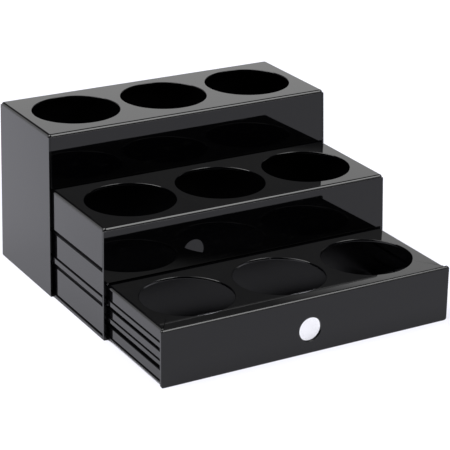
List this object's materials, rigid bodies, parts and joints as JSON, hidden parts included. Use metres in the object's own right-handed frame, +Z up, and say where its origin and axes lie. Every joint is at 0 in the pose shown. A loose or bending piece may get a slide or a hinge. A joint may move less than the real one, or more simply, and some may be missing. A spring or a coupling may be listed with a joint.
{
  "type": "pull-out cup and lid organiser",
  "caption": "Gloss black counter organiser whose nested tiers pull out into steps, with round wells for stacks of cups and lids.",
  "frame": {"origin": "centre of the whole opened organiser's footprint, on the surface it stands on", "axes": "+X to the right when facing the front, -Y the way the tiers pull out, +Z up"},
  "size_m": [0.337, 0.3712, 0.1765],
  "materials": {
    "gloss_plates": "polished moulded black plastic, mirror-like",
    "satin_rails": "satin moulded black plastic"
  },
  "bodies": {
    "housing": {"housing_top_plate": "gloss_plates", "housing_left_side": "gloss_plates", "housing_right_side": "gloss_plates", "housing_fascia": "gloss_plates", "housing_back_panel": "gloss_plates", "housing_left_lower_rail": "satin_rails", "housing_left_upper_rail": "satin_rails", "housing_right_lower_rail": "satin_rails", "housing_right_upper_rail": "satin_rails"},
    "middle_tier": {"middle_top_plate": "gloss_plates", "middle_left_side": "gloss_plates", "middle_right_side": "gloss_plates", "middle_fascia": "gloss_plates", "middle_back_panel": "gloss_plates", "middle_left_lower_rail": "satin_rails", "middle_left_upper_rail": "satin_rails", "middle_right_lower_rail": "satin_rails", "middle_right_upper_rail": "satin_rails"},
    "front_drawer": {"drawer_top_plate": "gloss_plates", "drawer_left_side": "gloss_plates", "drawer_right_side": "gloss_plates", "drawer_front_panel": "gloss_plates", "drawer_back_panel": "gloss_plates"}
  },
  "joints": [
    {"name": "middle_tier_slide", "type": "slide", "parent": "housing", "child": "middle_tier", "axis": [0, -1, 0], "range_m": [-0.119, 0]},
    {"name": "front_drawer_slide", "type": "slide", "parent": "middle_tier", "child": "front_drawer", "axis": [0, -1, 0], "range_m": [-0.1169, 0]}
  ]
}
